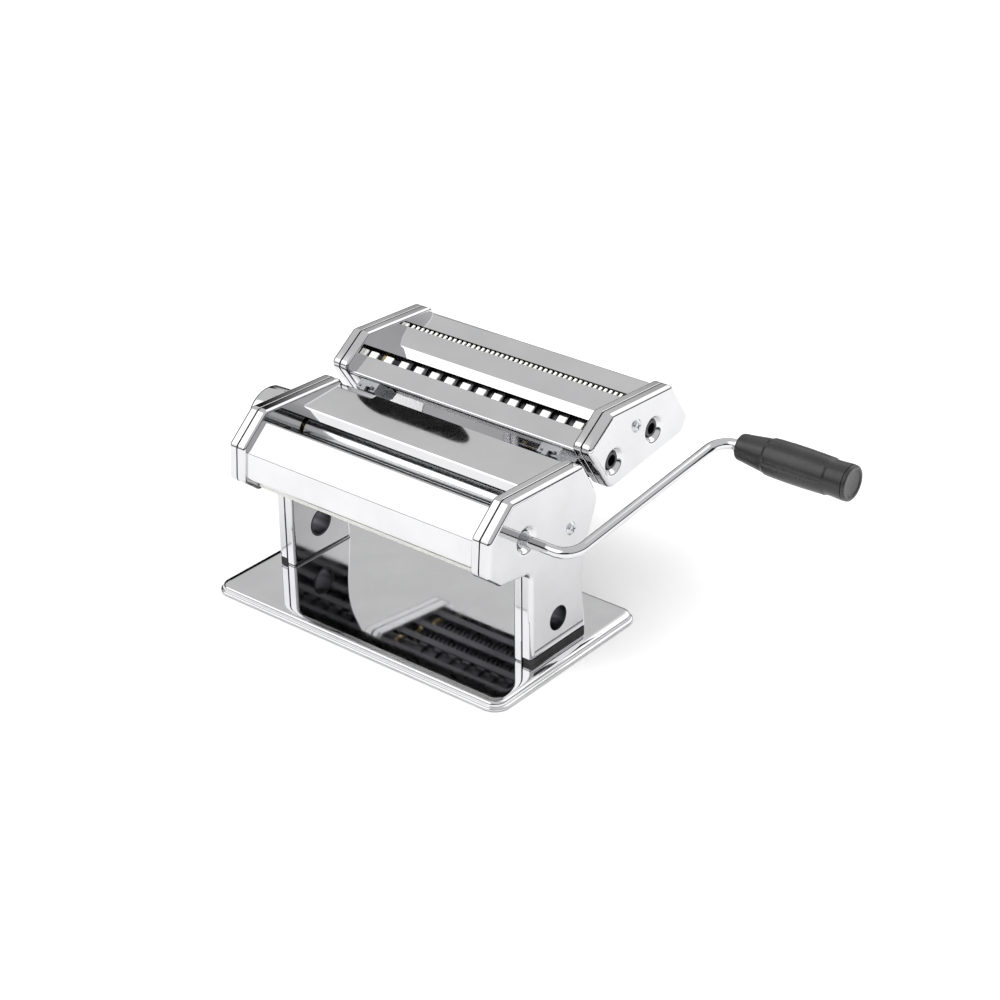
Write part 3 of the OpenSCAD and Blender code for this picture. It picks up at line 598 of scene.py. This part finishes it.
ROD_R = 3.0
THROW = 113.0
ARM_X = 115.5
BEND_R = 11.0
GRIP_X = 139.0
TIP_X = WALL_X - 11.5
END_EASE = 0.4
ROD_STEPS = 40
ARM_LEAN = 5.65
turn = math.radians(90 - ARM_LEAN)
tangent = BEND_R * math.tan(turn / 2)
elbow = Vector((ARM_X, 0))
along = Vector((math.cos(turn), math.sin(turn)))
wrist = elbow + THROW / math.sin(turn) * along
rod_end = high("crank_rod").x


def arc(centre, start, sweep, steps=24):
    angles = [start + sweep * k / steps for k in range(steps + 1)]
    return [centre + Vector((BEND_R * math.cos(a), BEND_R * math.sin(a))) for a in angles]


centre_line = [Vector((TIP_X + 8.6, 0))]
centre_line += arc(elbow + Vector((-tangent, BEND_R)), -math.pi / 2, turn)
centre_line += arc(wrist + Vector((tangent, -BEND_R)), math.pi / 2 + turn, -turn)
centre_line += [Vector((rod_end - END_EASE, wrist.y))]
rod = Maker()
rod_rings = []
for i, p in enumerate(centre_line):
    d = (centre_line[min(i + 1, len(centre_line) - 1)] - centre_line[max(i - 1, 0)]).normalized()
    side_way = Vector((-d.y, d.x))
    ring = []
    for aside, over in spokes(ROD_R, ROD_STEPS):
        q = p + aside * side_way
        ring.append(crank_point(q.x, q.y, over))
    rod_rings.append(rod.ring(ring))
for a, b in zip(rod_rings, rod_rings[1:]):
    rod.band(a, b)
for end, step in ((0, -END_EASE), (-1, END_EASE)):
    p = centre_line[end]
    cap = rod.ring([crank_point(p.x + step, p.y + a, b) for a, b in spokes(ROD_R - END_EASE, ROD_STEPS)])
    rod.band(rod_rings[end], cap)
    rod.fill(cap)
half = 2.1
square = [(-half, -half), (half, -half), (half, half), (-half, half)]
a = rod.ring([crank_point(TIP_X + 0.5, 0.85 * p[0], 0.85 * p[1]) for p in square])
b = rod.ring([crank_point(TIP_X + 1.1, *p) for p in square])
c = rod.ring([crank_point(TIP_X + 9, *p) for p in square])
tip = rod.ring([crank_point(TIP_X, 0.7 * p[0], 0.7 * p[1]) for p in square])
rod.fill(tip)
rod.band(tip, a)
rod.band(a, b)
rod.band(b, c)
rod.fill(c)


def grip_place(x, p, q):
    """Puts x, a, b of the grip's own axis into the frame."""
    return crank_point(x, wrist.y + p, q)


collar = [(2.9, -1.8), (4.2, -1.8), (4.4, -1.6), (4.4, -0.5), (4.2, -0.3), (2.9, -0.3)]
rod.lathe([(r, GRIP_X + x) for r, x in collar], grip_place, 48)
place_piece(rod.make("crank_bar", CHROME, 40), "crank", "polished_chrome", "crank_rod")


# ---------------------------------------------------------------- grip
GRIP_LEN = high("grip_cap").x - GRIP_X
body_profile = [
    (0.0, 6.3), (0.25, 6.75), (0.8, 7.05), (1.6, 7.2), (4, 7.45), (8, 7.95), (12, 8.5), (16, 9.05), (18, 9.3),
    (22, 9.55), (30, 9.75), (40, 9.7), (48, 9.5), (53.5, 9.3), (56, 9.25), (60, 9.45), (63.2, 9.6), (64, 9.55),
]
PANELS = 6
PANEL_START = 17.0
PANEL_END = 54.0
PANEL_HEIGHT = 0.5
PANEL_PHASE = math.radians(14)
GRIP_BODY_LEN = 64


def grip_radius(x, angle):
    """Radius of the grip: a smooth spindle with long raised panels between narrow grooves."""
    base = body_profile[-1][1]
    for (xa, ra), (xb, rb) in zip(body_profile, body_profile[1:]):
        if xa <= x <= xb:
            base = ra + (rb - ra) * (x - xa) / (xb - xa)
            break
    turn_part = (angle / (2 * math.pi) * PANELS) % 1.0
    side_fade = min(1.0, max(0.0, (0.5 - abs(turn_part - 0.5) - 0.045) / 0.05))
    end_fade = min(1.0, max(0.0, (x - PANEL_START) / 1.6)) * min(1.0, max(0.0, PANEL_END - x))
    return base + PANEL_HEIGHT * side_fade * end_fade


grip = Maker()
stations = [
    0.0, 0.25, 0.8, 1.6, 4, 8, 12, 15, 16.6, 17.0, 17.4, 17.8, 18.2, 18.6, 19, 22, 26, 30, 35, 40, 45, 50,
    52.4, 53, 53.3, 53.6, 54, 54.4, 56, 60, 63.2, 63.75, GRIP_BODY_LEN,
]
steps = 240
rows = []
for x in stations:
    shrink = 0.45 if x == GRIP_BODY_LEN else 0.0
    row = []
    for k in range(steps):
        a = 2 * math.pi * k / steps
        r = grip_radius(x, a + PANEL_PHASE) - shrink
        row.append(grip_place(GRIP_X + x, r * math.cos(a), r * math.sin(a)))
    rows.append(grip.ring(row))
for a, b in zip(rows, rows[1:]):
    grip.band(a, b)
bore = [
    grip.ring([grip_place(GRIP_X + x, p, q) for p, q in spokes(r, steps)])
    for x, r in ((0.0, 3.2), (58, 3.2), (58, 5.8), (GRIP_BODY_LEN, 5.8))
]
grip.band(rows[0], bore[0])
for a, b in zip(bore, bore[1:]):
    grip.band(a, b)
grip.band(bore[-1], rows[-1])
place_piece(grip.make("grip_body", BLACK, 28), "grip", "black_plastic", "crank_grip")
cap = Maker()
cap_profile = [
    (0, 62.6), (5.75, 62.6), (5.75, 64.05), (9.0, 64.05), (9.45, 64.2), (9.5, 64.8), (9.3, 65.5), (8.9, 65.9),
    (8.4, GRIP_LEN), (7.7, GRIP_LEN), (7.3, 65.85), (7.05, 65.45), (6.8, 65.4), (0, 65.4),
]
cap.lathe([(r, GRIP_X + x) for r, x in cap_profile], grip_place, 96)
place_piece(cap.make("grip_end", BLACK, 28), "grip", "black_plastic", "grip_cap")


# ---------------------------------------------------------------- knob
KNOB_IN = -high("regulator_knob").x
KNOB_OUT = -low("regulator_knob").x
KNOB_R = (high("regulator_knob").z - low("regulator_knob").z) / 2
knob = Maker()
web = KNOB_IN + 8
profile = [
    (2.6, web), (5.5, web), (5.5, web + 0.2), (KNOB_R - 1.6, web + 0.2), (KNOB_R - 1.6, KNOB_IN + 0.4),
    (KNOB_R - 1.3, KNOB_IN + 0.1), (KNOB_R - 0.8, KNOB_IN), (KNOB_R - 0.25, KNOB_IN + 0.2), (KNOB_R, KNOB_IN + 0.8),
]
round_r = 3.2
for k in range(11):
    a = math.pi / 2 * k / 10
    profile.append((KNOB_R - round_r * (1 - math.cos(a)), KNOB_OUT - round_r * (1 - math.sin(a))))
profile += [
    (KNOB_R - 3.4, KNOB_OUT - 0.05), (KNOB_R - 3.5, KNOB_OUT - 0.4), (KNOB_R - 3.4, web + 1.7), (2.6, web + 1.7),
]
knob.lathe([(r, -x) for r, x in profile], about_x(REAR_AXIS), 128)
place_piece(knob.make("knob_body", CHROME, 35), "thickness_knob", "polished_chrome", "regulator_knob")
face = Maker()
face_r = KNOB_R - 3.6
face_profile = [
    (0, -1.6), (face_r, -1.6), (face_r, -0.8), (face_r - 0.4, -0.5), (face_r - 1.2, -0.35),
    (face_r - 3, -0.1), (face_r - 7, 0.1), (0, 0.2),
]
face.lathe([(r, -(KNOB_OUT + x)) for r, x in face_profile], about_x(REAR_AXIS), 128)
place_piece(face.make("knob_face", CHROME, 35), "thickness_knob", "polished_chrome", "knob_cap")


# ---------------------------------------------------------------- CAD nodes that are shown as they are
# These nodes get the near-black painted shade steel, so the clamp hole and the cutter recesses read dark
DARK_NODES = ("wide_", "fine_", "clamp_bushes")
slot_of = {}
for part in frame["record"].get("subparts", []):
    slot_of[part["node"]] = part["material_slot"]
for name, obj in frame["nodes"].items():
    if obj.hide_render:
        continue
    finish = FINISH.get(slot_of.get(name), TURNED)
    if name.startswith(DARK_NODES):
        finish = RECESS_SHADE_STEEL
    obj.data.materials.clear()
    obj.data.materials.append(finish)


# ---------------------------------------------------------------- studio
def area_light(name, size, place, aim, energy):
    data = bpy.data.lights.new(name, "AREA")
    data.shape = "SQUARE"
    data.size = size
    data.energy = energy
    obj = bpy.data.objects.new(name, data)
    obj.location = place
    obj.rotation_euler = (Vector(aim) - Vector(place)).to_track_quat("-Z", "Y").to_euler()
    obj.visible_glossy = False
    bpy.context.scene.collection.objects.link(obj)
    return obj


area_light("key_light", 2.4, (-0.6, -0.7, 2.5), (0, 0, 0), 36)
area_light("fill_light", 2.4, (1.4, 0.9, 2.2), (0, 0, 0), 24)

floor_mesh = bpy.data.meshes.new("studio_floor")
extent = 9.0
corners = [(-extent, -extent, 0), (extent, -extent, 0), (extent, extent, 0), (-extent, extent, 0)]
floor_mesh.from_pydata(corners, [], [(0, 1, 2, 3)])
floor = bpy.data.objects.new("studio_floor", floor_mesh)
bpy.context.scene.collection.objects.link(floor)


def matte(name, scale, detail, dark, light, rough):
    """A stage surface with no shine."""
    s = Shader(name)
    s.feed("Base Color", s.ramp(s.noise(scale, detail, 0.5), 0.3, 0.7, (dark,) * 3, (light,) * 3))
    s.bsdf.inputs["Roughness"].default_value = rough
    s.bsdf.inputs["Specular IOR Level"].default_value = 0.0
    return s.mat


floor_mesh.materials.append(matte("studio_paper", 3, 2, 0.90, 0.92, 0.9))


def flag(name, centre, wide, tall):
    """A black card with rounded ends that stands behind the set; only reflections see it."""
    outline = []
    for side in (1, -1):
        for k in range(25):
            turn = math.pi * (k / 24 - 0.5)
            out = wide / 2 + tall / 2 * math.cos(turn)
            outline.append((centre[0] + side * out, centre[2] + side * tall / 2 * math.sin(turn)))
    card = Maker()
    ring = card.ring([(x, centre[1], z) for x, z in outline])
    card.fill(ring)
    obj = card.make(name, matte("studio_felt", 40, 3, 0.01, 0.02, 1.0))
    obj.visible_camera = False
    obj.visible_diffuse = False
    obj.visible_shadow = False


flag("studio_flag", (-274, 290, 303), 64, 40)


class Sky:
    """A studio built of soft zones over direction."""

    def __init__(self):
        world = bpy.data.worlds.new("studio_world")
        bpy.context.scene.world = world
        world.use_nodes = True
        self.tree = world.node_tree
        self.back = next(n for n in self.tree.nodes if n.type == "BACKGROUND")
        self.back.inputs["Color"].default_value = (1, 1, 1, 1)
        coord = self.tree.nodes.new("ShaderNodeTexCoord")
        self.way = coord.outputs["Generated"]

    def along(self, direction):
        node = self.tree.nodes.new("ShaderNodeVectorMath")
        node.operation = "DOT_PRODUCT"
        self.tree.links.new(self.way, node.inputs[0])
        node.inputs[1].default_value = Vector(direction).normalized()
        return node.outputs["Value"]

    def zone(self, source, start, end, low_to=0.0, high_to=1.0, ease="SMOOTHSTEP"):
        node = self.tree.nodes.new("ShaderNodeMapRange")
        node.interpolation_type = ease
        node.inputs["From Min"].default_value = start
        node.inputs["From Max"].default_value = end
        node.inputs["To Min"].default_value = low_to
        node.inputs["To Max"].default_value = high_to
        self.tree.links.new(source, node.inputs["Value"])
        return node.outputs["Result"]

    def combine(self, operation, a, b):
        node = self.tree.nodes.new("ShaderNodeMath")
        node.operation = operation
        self.tree.links.new(a, node.inputs[0])
        self.tree.links.new(b, node.inputs[1])
        return node.outputs["Value"]


sky = Sky()
upward = sky.along((0, 0, 1))
rise = sky.tree.nodes.new("ShaderNodeValToRGB")
ramp = rise.color_ramp
ramp.elements[0].position = 0.0
ramp.elements[0].color = (1, 1, 1, 1)
ramp.elements[1].position = 1.0
ramp.elements[1].color = (0.76, 0.76, 0.77, 1)
for at, level in ((0.492, 1.0), (0.505, 0.02), (0.59, 0.03), (0.63, 0.4), (0.69, 0.7), (0.78, 0.76)):
    e = ramp.elements.new(at)
    e.color = (level, level, level * 1.01, 1)
sky.tree.links.new(sky.zone(upward, -1.0, 1.0, ease="LINEAR"), rise.inputs["Fac"])
level = sky.tree.nodes.new("ShaderNodeRGBToBW")
sky.tree.links.new(rise.outputs["Color"], level.inputs["Color"])
left_half = sky.zone(sky.along((0.7733, 0.634, 0)), -0.10, -0.02, 1, 0)
dark_side = sky.combine("MULTIPLY", left_half, sky.zone(upward, 0.42, 0.47, 1, 0))
above_floor = sky.zone(upward, -0.02, 0.02)
dark_side = sky.combine("MULTIPLY", dark_side, above_floor)
keep = sky.tree.nodes.new("ShaderNodeMath")
keep.operation = "SUBTRACT"
keep.inputs[0].default_value = 1.0
sky.tree.links.new(dark_side, keep.inputs[1])
shade = sky.combine("MULTIPLY", level.outputs["Val"], keep.outputs["Value"])
front_box = sky.zone(sky.along((-0.5, -0.72, 0.48)), 0.80, 0.87, 0, 1.3)
front_box = sky.combine("MULTIPLY", front_box, sky.zone(upward, 0.14, 0.2))
back_box = sky.zone(sky.along((0.1, 0.78, 0.62)), 0.82, 0.89, 0, 0.9)
back_box = sky.combine("MULTIPLY", back_box, sky.zone(upward, 0.1, 0.16))
total = sky.combine("ADD", shade, sky.combine("ADD", front_box, back_box))
sky.tree.links.new(total, sky.back.inputs["Strength"])

# ---------------------------------------------------------------- camera
AZIMUTH = math.radians(39.35)
ELEVATION = math.radians(28.16)
ROLL = math.radians(-0.59)
TARGET = Vector((14.73, 46.67, 48.80)) * MM
DISTANCE = 1.2391
level_part = math.cos(ELEVATION)
back = Vector((math.sin(AZIMUTH) * level_part, -math.cos(AZIMUTH) * level_part, math.sin(ELEVATION)))
right = Vector((math.cos(AZIMUTH), math.sin(AZIMUTH), 0))
up = back.cross(right)
rolled_right = math.cos(ROLL) * right + math.sin(ROLL) * up
rolled_up = math.cos(ROLL) * up - math.sin(ROLL) * right
camera_data = bpy.data.cameras.new("product_camera")
camera_data.lens = 83.38
camera_data.sensor_width = 36
camera = bpy.data.objects.new("product_camera", camera_data)
place = TARGET + DISTANCE * back
turned = Matrix((rolled_right, rolled_up, back)).transposed().to_4x4()
camera.matrix_world = Matrix.Translation(place) @ turned
bpy.context.scene.collection.objects.link(camera)
bpy.context.scene.camera = camera
bpy.context.scene.view_settings.view_transform = "Standard"
